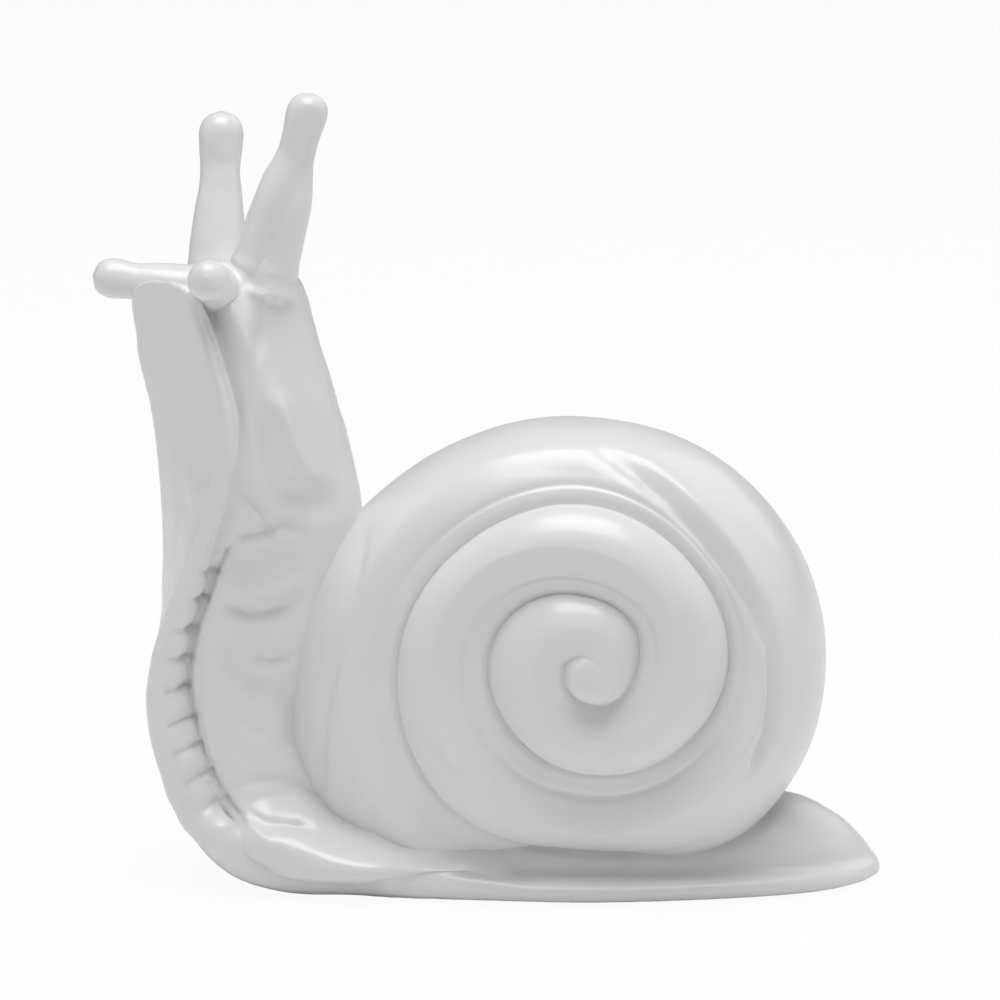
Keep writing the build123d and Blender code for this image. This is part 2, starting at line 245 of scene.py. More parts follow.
@dataclass(frozen=True)
class Glaze:
    """Thick glossy white lacquer over cast resin, with faint clouds and ripples."""

    name: str = "white_lacquer"
    light: float = 0.86
    dark: float = 0.81
    warmth: float = 0.004
    gloss_roughness: float = 0.26
    roughness_spread: float = 0.14
    cloud_share: float = 0.8
    ripple_depth: float = 0.00012
    ripple_strength: float = 0.35
    pore_height: float = 0.15
    coat: float = 0.4
    coat_roughness: float = 0.14
    refraction: float = 1.48
    cloud_scale: float = 70.0
    pore_scale: float = 900.0
    ripple_scale: float = 220.0

    def material(self) -> bpy.types.Material:
        """Builds the lacquer.

        Returns:
            The material.
        """
        paint = Paint.material(self.name)
        clouds = paint.speckle(self.cloud_scale)
        pores = paint.speckle(self.pore_scale, detail=2.0)
        ripples = paint.speckle(self.ripple_scale, detail=2.0)
        dark, light = grey(self.dark, self.warmth), grey(self.light)
        return paint.principled({
            "Base Color": paint.mix(clouds * self.cloud_share + pores * (1 - self.cloud_share), dark, light),
            "Roughness": clouds * self.roughness_spread + self.gloss_roughness,
            "Normal": paint.bump(ripples + pores * self.pore_height, self.ripple_depth, self.ripple_strength),
            "IOR": self.refraction,
            "Coat Weight": self.coat,
            "Coat Roughness": self.coat_roughness,
        })


@dataclass(frozen=True)
class Felt:
    """Short pressed wool in mixed greys."""

    name: str = "grey_felt"
    light: float = 0.42
    dark: float = 0.24
    dark_warmth: float = 0.004
    light_warmth: float = 0.006
    fibre_share: float = 0.6
    roughness: float = 0.96
    roughness_drop: float = 0.1
    fibre_depth: float = 0.0003
    fibre_strength: float = 0.9
    tuft_height: float = 0.5
    fibre_scale: float = 1400.0
    tuft_scale: float = 260.0

    def material(self) -> bpy.types.Material:
        """Builds the felt.

        Returns:
            The material.
        """
        paint = Paint.material(self.name)
        fibres = paint.speckle(self.fibre_scale, detail=5.0)
        tufts = paint.speckle(self.tuft_scale)
        dark, light = grey(self.dark, self.dark_warmth), grey(self.light, self.light_warmth)
        return paint.principled({
            "Base Color": paint.mix(fibres * self.fibre_share + tufts * (1 - self.fibre_share), dark, light),
            "Roughness": self.roughness - fibres * self.roughness_drop,
            "Normal": paint.bump(fibres + tufts * self.tuft_height, self.fibre_depth, self.fibre_strength),
            "Sheen Weight": 0.4,
            "Sheen Roughness": 0.5,
        })


@dataclass(frozen=True)
class DrawnSteel:
    """Steel wire with fine drawing marks."""

    name: str = "drawn_steel"
    light: float = 0.62
    dark: float = 0.5
    roughness: float = 0.25
    roughness_spread: float = 0.2
    mark_depth: float = 0.00005
    mark_strength: float = 0.3
    mark_scale: float = 1500.0

    def material(self) -> bpy.types.Material:
        """Builds the steel.

        Returns:
            The material.
        """
        paint = Paint.material(self.name)
        marks = paint.speckle(self.mark_scale, detail=4.0)
        return paint.principled({
            "Base Color": paint.mix(marks, grey(self.dark), grey(self.light)),
            "Roughness": marks * self.roughness_spread + self.roughness,
            "Normal": paint.bump(marks, self.mark_depth, self.mark_strength),
            "Metallic": 1.0,
        })


class Slot(Enum):
    """Names of the record's material slots, which placed() is given but does not use."""

    RESIN = "white_resin"
    FELT = "felt"


# Meshes


def added(name: str, data: bpy.types.ID) -> bpy.types.Object:
    """Adds an object to the scene.

    Args:
        name: Its name.
        data: Its mesh, light or camera.

    Returns:
        The object.
    """
    thing = bpy.data.objects.new(name, data)
    bpy.context.scene.collection.objects.link(thing)
    return thing


def grid_skin(rows: int, columns: int, place: Place) -> Skin:
    """Bends a flat grid into a closed skin.

    Args:
        rows: Faces along the skin.
        columns: Faces round it.
        place: Gives the points for their shares along the skin and round it.

    Returns:
        The skin, with its seam and ends closed.
    """
    skin = bmesh.new()
    bmesh.ops.create_grid(skin, x_segments=rows, y_segments=columns, size=0.5)
    shares = np.array([vertex.co for vertex in skin.verts]) + 0.5
    for vertex, point in zip(skin.verts, place(shares[:, 0], shares[:, 1] % 1.0), strict=True):
        vertex.co = point
    bmesh.ops.remove_doubles(skin, verts=skin.verts, dist=SAME_POINT)
    close_holes(skin)
    bmesh.ops.recalc_face_normals(skin, faces=skin.faces)
    return skin


def close_holes(skin: Skin) -> None:
    """Puts a face over every hole in a skin."""
    bmesh.ops.holes_fill(skin, edges=[edge for edge in skin.edges if edge.is_boundary], sides=0)


def mesh_of(skin: Skin, name: str) -> bpy.types.Mesh:
    """Turns a skin into a mesh, still in millimetres.

    Args:
        skin: The skin, which is used up.
        name: The mesh's name.

    Returns:
        The mesh.
    """
    mesh = bpy.data.meshes.new(name)
    skin.to_mesh(mesh)
    skin.free()
    return mesh


def melted(skins: Sequence[Skin], voxel: float, smoothing: int) -> bpy.types.Mesh:
    """Joins overlapping skins into one even skin.

    Args:
        skins: The skins, which are used up.
        voxel: The size of the new faces.
        smoothing: How often the skin is evened out.

    Returns:
        The new mesh.
    """
    all_skins = bmesh.new()
    for skin in skins:
        part = mesh_of(skin, "part")
        all_skins.from_mesh(part)
        bpy.data.meshes.remove(part)
    mesh = mesh_of(all_skins, "melting")
    thing = added("melting", mesh)
    remesh = thing.modifiers.new("melt", "REMESH")
    remesh.mode = "VOXEL"
    remesh.voxel_size = voxel
    even = thing.modifiers.new("even", "SMOOTH")
    even.factor = 0.5
    even.iterations = smoothing
    melt = thing.evaluated_get(bpy.context.evaluated_depsgraph_get())
    made = bpy.data.meshes.new_from_object(melt)
    bpy.data.objects.remove(thing)
    bpy.data.meshes.remove(mesh)
    return made


def points_of(mesh: bpy.types.Mesh) -> tuple[Rows, Rows]:
    """Reads a mesh's points.

    Args:
        mesh: The mesh.

    Returns:
        The points and their normals, one row each.
    """
    count = len(mesh.vertices)
    points = np.empty(count * 3)
    normals = np.empty(count * 3)
    mesh.vertices.foreach_get("co", points)
    mesh.vertices.foreach_get("normal", normals)
    return points.reshape(-1, 3), normals.reshape(-1, 3)


def move_points(mesh: bpy.types.Mesh, points: Rows) -> None:
    """Puts a mesh's points at new places."""
    mesh.vertices.foreach_set("co", points.astype(np.float32).ravel())
    mesh.update()


def placed(
    mesh: bpy.types.Mesh, name: str, finish: bpy.types.Material, slot: Slot, *stands_for: str
) -> bpy.types.Object:
    """Makes a finished piece of a mesh in millimetres.

    Args:
        mesh: The mesh.
        name: The piece's name.
        finish: Its material.
        slot: Not used.
        *stands_for: The nodes that it replaces.

    Returns:
        The piece, riding on the part's one body.
    """
    mesh.transform(Matrix.Scale(MM, 4))
    mesh.shade_smooth()
    mesh.materials.clear()
    mesh.materials.append(finish)
    piece = added(name, mesh)
    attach(piece, ROOT)
    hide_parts(*stands_for)
    LOG.info("%s: %d points, %d faces", name, len(mesh.vertices), len(mesh.polygons))
    return piece


# Marks in a skin, along lines seen from the side


def beside(points: Rows, line: Corners) -> tuple[Rows, Rows]:
    """Where points lie along and beside a line in the side view.

    Args:
        points: The points.
        line: The line's corners, as X and Z.

    Returns:
        The place along the line, counted in corners, and the distance, which is
        above zero on the right-hand side of the line's way.
    """
    flat = points[:, [0, 2]]
    reach = np.full(len(flat), np.inf)
    place = np.zeros(len(flat))
    side = np.ones(len(flat))
    for index, (start, end) in enumerate(zip(line, line[1:])):
        offset, run = flat - np.array(start), np.subtract(end, start)
        share = np.clip(offset @ run / (run @ run), 0, 1)
        away = np.linalg.norm(offset - share[:, None] * run, axis=1)
        closer = away < reach
        place = np.where(closer, index + share, place)
        side = np.where(closer, np.sign(offset[:, 0] * run[1] - offset[:, 1] * run[0]), side)
        reach = np.minimum(reach, away)
    return place, reach * side


@dataclass(frozen=True)
class Fold:
    """A furrow in the skin, or a ridge where its depth is below zero.

    A line of more than two corners fades towards its ends, over the corners given by fade.
    """

    depth: float
    width: float
    line: Corners
    fade: tuple[float, float] = (-0.4, 0.8)

    def fall(self, points: Rows) -> Rows:
        """How far the skin sinks.

        Args:
            points: The skin's points.

        Returns:
            One depth for each point.
        """
        place, away = beside(points, self.line)
        last = len(self.line) - 1
        ends = np.minimum(place, last - place) if last > 1 else np.ones(len(points))
        return self.depth * bell(away, self.width) * ease(ends, *self.fade)


@dataclass(frozen=True)
class Fringe:
    """A row of small blocks along the sole's edge, with a pit at the corner of each.

    The row runs down the neck and back along the foot. Band and strength give the blocks'
    height and how strong the marks are, at each pit.
    """

    pits: tuple = (
        (-51.5, 63.7), (-54.0, 60.6), (-55.9, 57.0), (-57.6, 52.3), (-59.4, 46.9), (-60.4, 41.8),
        (-60.8, 36.7), (-59.9, 31.3), (-59.0, 26.6), (-57.3, 21.8), (-54.9, 17.2), (-51.6, 12.9),
        (-47.6, 9.6), (-42.5, 7.9), (-37.0, 7.3), (-31.0, 7.0), (-25.0, 7.0),
    )
    band: tuple = (1.0, 1.5, 2.1, 2.8, 3.2, 3.6, 4.0, 4.4, 4.6, 4.6, 4.2, 3.8, 3.4, 2.8, 2.4, 1.8, 1.4)
    strength: tuple = (0.0, 0.5, 0.9, 1.0, 1.0, 1.1, 1.2, 1.2, 1.1, 1.0, 0.75, 0.45, 0.25, 0.1, 0.0, 0.0, 0.0)
    spacing: float = 5.0
    band_start: tuple = (0.0, 0.9)
    band_edge: float = 0.8
    seam_depth: float = 1.1
    seam_width: float = 0.55
    pit_depth: float = 1.2
    pit_length: float = 0.65
    pit_width: float = 0.85
    pit_offset: float = 0.2
    cut_depth: float = 0.45
    cut_width: float = 0.45
    block_height: float = 0.4
    block_round: float = 1.4
    rim_height: float = 0.9
    rim_width: float = 0.5
    rim_offset: float = 1.15

    def fall(self, points: Rows) -> Rows:
        """How far the skin sinks.

        Args:
            points: The skin's points.

        Returns:
            One depth for each point.
        """
        place, away = beside(points, self.pits)
        band = along(self.band, place)
        gap = np.abs(place - np.round(place)) * self.spacing
        inside = ease(away, *self.band_start) * ease(away - band, self.band_edge, -self.band_edge)
        seam = self.seam_depth * bell(away, self.seam_width)
        pits = self.pit_depth * bell(gap, self.pit_length) * bell(away - self.pit_offset, self.pit_width)
        cuts = self.cut_depth * bell(gap, self.cut_width) * inside
        blocks = -self.block_height * (1 - bell(gap, self.block_round)) * inside
        rim = -self.rim_height * bell(away + self.rim_offset, self.rim_width)
        return (seam + pits + cuts + blocks + rim) * along(self.strength, place)


@dataclass
class Course:
    """A row of sections: where each is, how it is turned and how large it is."""

    origin: Rows
    left: Rows
    inward: Rows
    size: Rows

    @classmethod
    def of(cls, rows: Sequence[tuple]) -> "Course":
        """The course of sections that are given one by one, each as its origin, left, inward and size."""
        return cls(*(np.array(column, float) for column in zip(*rows)))

    def at(self, place: Rows) -> "Course":
        """The sections at places between the given ones.

        Args:
            place: The places, counted in sections from the first.

        Returns:
            A course with one section for each place.
        """
        left = along(self.left, place)
        inward = along(self.inward, place)
        return Course(
            along(self.origin, place),
            left / np.linalg.norm(left, axis=1, keepdims=True),
            inward / np.linalg.norm(inward, axis=1, keepdims=True),
            along(self.size, place),
        )

    def point(self, sideways: Rows, inwards: Rows) -> Rows:
        """Points in the sections, by their way to the left and inwards."""
        return self.origin + self.left * sideways[:, None] + self.inward * inwards[:, None]


@dataclass
class Casting:
    """The foot, neck and head: a sole slab that turns up the front, and the neck behind it.

    The slab's sections stand in columns: ground_* from the tail tip forwards, and front_* from
    there up to the mouth. A row of lip is a rise, a width and a thickness. The rest is rows: of
    trunk, X, height, width, depth and corner; of turn, X, Z, slope, width, depth and corner; of
    neck, width, depth and corner; of head, rise, width, depth and corner. Angles are degrees.
    Other entries are shares of the lengths beside the tables.
    """

    tail_reach: float = 58.6
    foot_half_width: float = 21.5
    margin: float = 4.5
    crown: float = 0.8
    sole_level: float = -0.2
    underside: float = 0.4
    ground_x: tuple = (1.0, 0.98, 0.92, 0.78, 0.5, 0.12, -0.26, -0.55)
    ground_width: tuple = (0.065, 0.235, 0.475, 0.725, 0.91, 1.0, 0.92, 0.82)
    ground_thickness: tuple = (0.4, 0.6, 0.75, 0.85, 0.9, 0.9, 0.95, 1.0)
    ground_round: tuple = (0.6, 0.8, 1.0, 1.1, 1.2, 1.2, 1.2, 1.2)

    front_reach: float = 68.2
    lip_height: float = 102.5
    twist: float = 43.0
    front_x: tuple = (0.645, 0.8, 0.91, 0.977, 1.0, 0.976, 0.944, 0.927, 0.93, 0.969, 1.006)
    front_z: tuple = (0.0, 0.031, 0.112, 0.224, 0.341, 0.449, 0.566, 0.683, 0.8, 0.907, 1.0)
    front_pitch: tuple = (0.0, 30.0, 58.0, 80.0, 90.0, 95.0, 97.0, 93.0, 88.0, 82.0, 80.0)
    front_width: tuple = (0.772, 0.74, 0.726, 0.726, 0.716, 0.707, 0.693, 0.651, 0.628, 0.535, 0.4)
    front_thickness: tuple = (1.1, 1.33, 1.64, 1.69, 1.47, 1.16, 0.93, 0.85, 0.78, 0.7, 0.62)
    front_round: tuple = (1.1, 0.9, 0.7, 0.5, 0.45, 0.45, 0.45, 0.45, 0.45, 0.45, 0.45)
    front_twist: tuple = (0.0, 0.0, 0.0, 0.0, 0.0, 0.07, 0.28, 0.53, 0.79, 0.91, 1.0)
    lip: tuple = ((2.4, 0.298, 0.65), (3.4, 0.135, 0.5))

    trunk_half_width: float = 16.0
    trunk_half_depth: float = 12.0
    trunk_height: float = 4.0
    trunk: tuple = (
        (0.98, 0.4, 0.08, 0.1, 0.7), (0.94, 0.5, 0.28, 0.32, 0.7), (0.86, 0.6, 0.55, 0.62, 0.75),
        (0.7, 0.7, 0.78, 0.9, 0.8), (0.42, 0.8, 0.95, 1.0, 0.85), (0.08, 1.0, 1.0, 1.0, 0.9),
        (-0.26, 1.6, 1.04, 1.0, 0.95),
    )
    neck_half_width: float = 11.2
    neck_half_depth: float = 16.3
    turn: tuple = (
        (0.44, 0.1, 15.0, 1.45, 0.76, 1.0), (0.6, 0.17, 42.0, 1.22, 0.86, 1.15),
        (0.69, 0.255, 64.0, 1.06, 0.93, 1.18),
    )
    neck_centre_depth: float = 18.8
    neck_from: int = 4
    neck_centre: tuple = (0.99, 1.0, 0.97, 0.905, 0.825, 0.8, 0.8)
    neck: tuple = (
        (1.0, 0.98, 1.14), (1.0, 1.0, 1.12), (0.98, 0.965, 1.08), (0.95, 0.91, 1.02), (0.91, 0.815, 0.95),
        (0.89, 0.785, 0.88),
    )
    head_rise: float = 12.5
    head: tuple = (
        (0.36, 0.87, 0.76, 0.85), (0.68, 0.8, 0.68, 0.8), (0.92, 0.5, 0.42, 0.8), (1.0, 0.12, 0.1, 0.8),
    )
    rear_fullness: float = 0.73
    corner_depth: float = 0.8
    sole_hollow: float = 0.5
    hollow_sections: tuple = (9.0, 12.0)

    rows_per_section: int = 10
    columns: int = 96
    voxel: float = 0.55
    smoothing: int = 6
    fringe: Fringe = Fringe()
    folds: tuple = (
        Fold(-0.7, 1.3, ((-55.0, 57.0), (-53.6, 53.6), (-49.8, 51.6), (-45.2, 52.2), (-41.7, 54.0))),
        Fold(1.0, 1.5, ((-54.0, 51.0), (-49.9, 48.9), (-46.6, 49.2), (-42.0, 51.0))),
        Fold(1.0, 3.0, ((-50.5, 57.2), (-43.0, 57.6))),
        Fold(1.0, 1.2, ((-52.0, 62.0), (-49.7, 63.4), (-46.4, 62.9), (-44.2, 64.6), (-40.0, 62.0))),
        Fold(1.1, 1.2, ((-52.4, 72.6), (-48.5, 68.1), (-46.4, 65.1), (-46.4, 61.9))),
        Fold(1.0, 2.4, ((-43.1, 69.2), (-38.7, 67.6))),
        Fold(-0.7, 1.7, ((-45.6, 74.6), (-43.7, 72.4), (-38.5, 72.6))),
        Fold(0.9, 1.1, ((-50.4, 41.4), (-46.7, 39.9), (-42.5, 41.4))),
        Fold(0.9, 1.5, ((-56.0, 44.7), (-51.2, 37.0), (-46.9, 34.0))),
        Fold(-0.8, 1.6, ((-58.5, 32.4), (-53.5, 28.0), (-46.5, 22.4))),
        Fold(1.0, 2.2, ((-44.4, 33.0), (-42.7, 25.5))),
        Fold(0.7, 1.2, ((-55.4, 18.4), (-50.0, 19.4), (-46.0, 19.2), (-42.0, 18.0), (-37.0, 15.4))),
        Fold(-2.8, 2.3, (
            (-54.5, 10.2), (-50.0, 10.6), (-45.0, 9.8), (-39.0, 8.0), (-32.0, 6.6), (-24.0, 6.0),
        )),
        Fold(-2.4, 2.3, (
            (-58.0, 16.0), (-55.5, 10.5), (-51.5, 7.4), (-46.5, 6.2), (-38.5, 5.4), (-28.0, 5.0), (-8.0, 4.6),
        )),
        Fold(1.6, 6.0, ((-51.5, 66.0), (-50.5, 56.0), (-50.0, 46.0), (-49.5, 38.0))),
        Fold(1.0, 0.8, ((-51.4, 14.6), (-47.5, 12.9), (-44.0, 12.7), (-40.4, 12.0))),
        Fold(-1.5, 1.6, ((-46.2, 88.0), (-44.6, 83.3), (-42.6, 77.4), (-40.6, 72.6))),
        Fold(1.1, 1.3, ((-48.2, 84.0), (-47.0, 76.9), (-46.4, 70.0))),
        Fold(0.8, 1.3, (
            (-57.2, 103.8), (-55.4, 98.9), (-54.0, 94.4), (-52.7, 89.1), (-51.8, 83.7), (-51.0, 78.0),
        )),
        Fold(-1.4, 1.5, ((-53.2, 103.8), (-52.0, 100.0), (-50.8, 96.4), (-49.4, 92.6))),
        Fold(1.2, 1.1, ((-48.6, 103.4), (-47.4, 98.4), (-48.2, 92.8))),
        Fold(0.8, 1.4, ((-50.6, 107.4), (-48.6, 105.8), (-46.3, 104.6))),
    )
    fold_facing: tuple = (0.1, 0.5)
    far_fold_levels: tuple = (92.0, 84.0)
    fringe_depths: tuple = (6.0, 9.0)
    front_facing: tuple = (0.97, 0.8)
    under_facing: tuple = (-0.6, -0.2)
    seat_gap: float = 1.7
    seat_facing: tuple = (0.0, 0.5)
    waist_share: float = 0.3
    waist_place: tuple = (-42.0, 26.0)
    waist_size: tuple = (12.0, 13.0)
    terrace: tuple = (11.5, 17.5)
    terrace_slope: float = 0.35
    lump_height: float = 0.22
    lump_size: float = 5.0
    lump_seed: float = 3.0
    lump_levels: tuple = (5.0, 14.0)
    shoulder_swell: float = 3.5
    shoulder_level: float = 13.0
    shoulder_height: float = 6.0
    shoulder_end: tuple = (-20.0, -35.0)

    def sole_course(self) -> Course:
        """Works out the slab's sections.

        Returns:
            The sections, from the tail tip round to the lip under the mouth.
        """
        rows = [
            ((self.tail_reach * x, 0, self.sole_level), (0, -1, 0), (0, 0, 1), size)
            for x, *size in zip(self.ground_x, self.ground_width, self.ground_thickness, self.ground_round)
        ]
        for index, size in enumerate(zip(self.front_width, self.front_thickness, self.front_round)):
            spot, side, back, up = self.front_frame(index)
            rows.append((spot, side, back, size))
        for rise, width, thin in self.lip:
            size = (width, self.front_thickness[-1] * thin, self.front_round[-1])
            rows.append((spot + up * rise, side, back, size))
        course = Course.of(rows)
        course.size *= (self.foot_half_width, self.margin, 1.0)
        return course

    def front_frame(self, index: int) -> tuple[Vector, Vector, Vector, Vector]:
        """Works out how a section up the front stands.

        Args:
            index: Which of the front's sections it is.

        Returns:
            Its place, its left, its way inwards and its way up.
        """
        pitch = math.radians(self.front_pitch[index])
        depth = self.depth_of_neck(index)
        side = Vector((0, -1, 0))
        back = Vector((math.sin(pitch), 0, math.cos(pitch)))
        up = Vector((-math.cos(pitch), 0, math.sin(pitch)))
        level = self.sole_level + self.lip_height * self.front_z[index]
        centre = Vector((-self.front_reach * self.front_x[index], 0, level)) + back * depth
        turned = Matrix.Rotation(math.radians(self.twist * self.front_twist[index]), 3, up)
        side, back = turned @ side, turned @ back
        return centre - back * depth, side, back, up

    def depth_of_neck(self, index: int) -> float:
        """How far the neck's centre lies behind the sole at a section up the front."""
        return self.neck_centre_depth * self.neck_centre[max(index - self.neck_from, 0)]

    def neck_course(self) -> Course:
        """Works out the sections behind the slab.

        Returns:
            The sections of the trunk, neck and head.
        """
        rows = []

        def neck_size(width: float, depth: float, corner: float) -> tuple[float, float, float]:
            """A section's size, from shares of the neck's."""
            return self.neck_half_width * width, self.neck_half_depth * depth, corner

        for x, height, width, depth, corner in self.trunk:
            spot = (self.tail_reach * x, 0, self.underside + self.trunk_height * height)
            size = (self.trunk_half_width * width, self.trunk_half_depth * depth, corner)
            rows.append((spot, (0, -1, 0), (0, 0, 1), size))
        for x, z, slope, *size in self.turn:
            pitch = math.radians(slope)
            spot = (-self.front_reach * x, 0, self.underside + self.lip_height * z)
            rows.append((spot, (0, -1, 0), (math.sin(pitch), 0, math.cos(pitch)), neck_size(*size)))
        for index, size in enumerate(self.neck, self.neck_from):
            spot, side, back, up = self.front_frame(index)
            spot = spot + back * self.depth_of_neck(index)
            rows.append((spot, side, back, neck_size(*size)))
        for rise, *size in self.head:
            rows.append((spot + up * (self.head_rise * rise), side, back, neck_size(*size)))
        return Course.of(rows)

    def slab(self) -> Skin:
        """Bends the slab: flat below, round at the margins, a little crowned on top.

        Returns:
            Its skin.
        """
        course = self.sole_course()
        last = len(course.origin) - 1

        def place(share: Rows, turn: Rows) -> Rows:
            """The slab's points, where lap runs from 0 in the middle of the sole to 4 on top.

            Args:
                share: Their shares of the way along the slab.
                turn: Their shares of the way round it.

            Returns:
                The points.
            """
            here = course.at(share * last)
            half_width, thickness, spread = here.size.T
            edge = thickness / 2
            flat = np.maximum(half_width - edge, edge / 4)
            sole = np.maximum(half_width - thickness * spread, half_width / 4)
            lap = 4 - np.abs(4 - 8 * turn)
            under = np.clip(lap - 1, 0, 1) * np.pi / 2
            over = np.clip(lap - 2, 0, 1) * np.pi / 2
            top = np.clip(4 - lap, 0, 1)
            below = sole * np.clip(lap, 0, 1) + (half_width - sole) * np.sin(under)
            above = flat * top + (half_width - flat) * np.cos(over)
            sideways = np.where(lap < 2, below, above) * np.where(turn < 0.5, 1, -1)
            hollow = self.sole_hollow * np.clip(1 - lap, 0, 1) * ease(share * last, *self.hollow_sections)
            rise = self.crown * flat / self.foot_half_width * (1 - top**2)
            low = edge - edge * np.cos(under) + hollow
            high = edge + edge * np.sin(over) + rise
            return here.point(sideways, np.where(lap < 2, low, high))

        return grid_skin(last * self.rows_per_section, self.columns, place)

    def trunk_and_neck(self) -> Skin:
        """Bends the trunk, neck and head: oval behind, with fuller corners towards the sole.

        Returns:
            Their skin.
        """
        course = self.neck_course()
        last = len(course.origin) - 1
        rear, low = self.rear_fullness, self.corner_depth
        across = (1, rear, 0, -rear, -1, 0, 0, 0)
        corners = (0, 0, 0, 0, 0, -1, 0, 1)
        inwards = (0, rear, 1, rear, 0, -low, -1, -low)

        def place(share: Rows, turn: Rows) -> Rows:
            """The points of the skin, each section read round from its left.

            Args:
                share: Their shares of the way along the skin.
                turn: Their shares of the way round it.

            Returns:
                The points.
            """
            here = course.at(share * last)
            half_width, half_depth, corner = here.size.T
            sideways = half_width * (around(across, turn) + corner * around(corners, turn))
            return here.point(sideways, half_depth * around(inwards, turn))

        return grid_skin(last * self.rows_per_section, self.columns, place)

    def waist(self, points: Rows) -> Rows:
        """How far the flanks draw in above the terrace that runs along the foot.

        Args:
            points: The skin's points.

        Returns:
            The share of each point's way from the middle.
        """
        beyond = (points[:, [0, 2]] - self.waist_place) / self.waist_size
        beyond[:, 1] = np.maximum(beyond[:, 1], 0)
        behind = (points[:, 0] - self.waist_place[0]).clip(0)
        step = ease(points[:, 2] + self.terrace_slope * behind, *self.terrace)
        return self.waist_share * bell(np.linalg.norm(beyond, axis=1), 1.0) * step

    def marks(self, points: Rows, normals: Rows) -> Rows:
        """How far the folds and the fringe of blocks sink the flanks.

        Args:
            points: The skin's points.
            normals: Their normals.

        Returns:
            One depth for each point.
        """
        fall = sum(fold.fall(points) for fold in self.folds)
        far_side = normals[:, 1] * ease(points[:, 2], *self.far_fold_levels)
        facing = ease(np.maximum(-normals[:, 1], far_side), *self.fold_facing)
        flank = ease(np.abs(points[:, 1]), *self.fringe_depths)
        flank = flank * ease(-normals[:, 0], *self.front_facing) * ease(normals[:, 2], *self.under_facing)
        return fall * facing + self.fringe.fall(points) * flank

    def seat(self, points: Rows, normals: Rows, shell: Rows) -> Rows:
        """How far the skin under the shell sinks, so that a dark gap shows round it.

        Args:
            points: The skin's points.
            normals: Their normals.
            shell: Points all over the shell.

        Returns:
            One depth for each point.
        """
        tree = KDTree(len(shell))
        for index, spot in enumerate(shell):
            tree.insert(spot, index)
        tree.balance()
        gap = np.array([tree.find(point)[2] for point in points])
        return self.seat_gap * bell(gap, self.seat_gap) * ease(normals[:, 2], *self.seat_facing)

    def lumps(self, points: Rows) -> Rows:
        """How far the hand-made surface stands out, most of all at the foot's shoulder.

        Args:
            points: The skin's points.

        Returns:
            One height for each point.
        """
        above = ease(points[:, 2], *self.lump_levels)
        level = bell(points[:, 2] - self.shoulder_level, self.shoulder_height)
        shoulder = 1 + self.shoulder_swell * level * ease(points[:, 0], *self.shoulder_end)
        return wander(points, self.lump_size, self.lump_seed) * self.lump_height * above * shoulder

    def sculpt(self, mesh: bpy.types.Mesh, shell: Rows) -> None:
        """Presses the waist, the marks and a gap round the shell into the skin.

        Args:
            mesh: The casting.
            shell: Points all over the shell that sits in it.
        """
        points, normals = points_of(mesh)
        points[:, 1] *= 1 - self.waist(points)
        points = points - normals * self.marks(points, normals)[:, None]
        points = points - normals * self.seat(points, normals, shell)[:, None]
        points = points + normals * self.lumps(points)[:, None]
        points[:, 2] = np.maximum(points[:, 2], self.underside)
        move_points(mesh, points)

    def build(self, finish: bpy.types.Material, collars: Sequence[Skin], shell: Rows) -> bpy.types.Object:
        """Makes the finished casting.

        Args:
            finish: Its material.
            collars: Skins of the swellings round the tentacles' roots.
            shell: Points all over the shell that sits in it.

        Returns:
            The piece.
        """
        mesh = melted([self.slab(), self.trunk_and_neck(), *collars], self.voxel, self.smoothing)
        self.sculpt(mesh, shell)
        return placed(mesh, "foot_neck_and_head", finish, Slot.RESIN, "body")


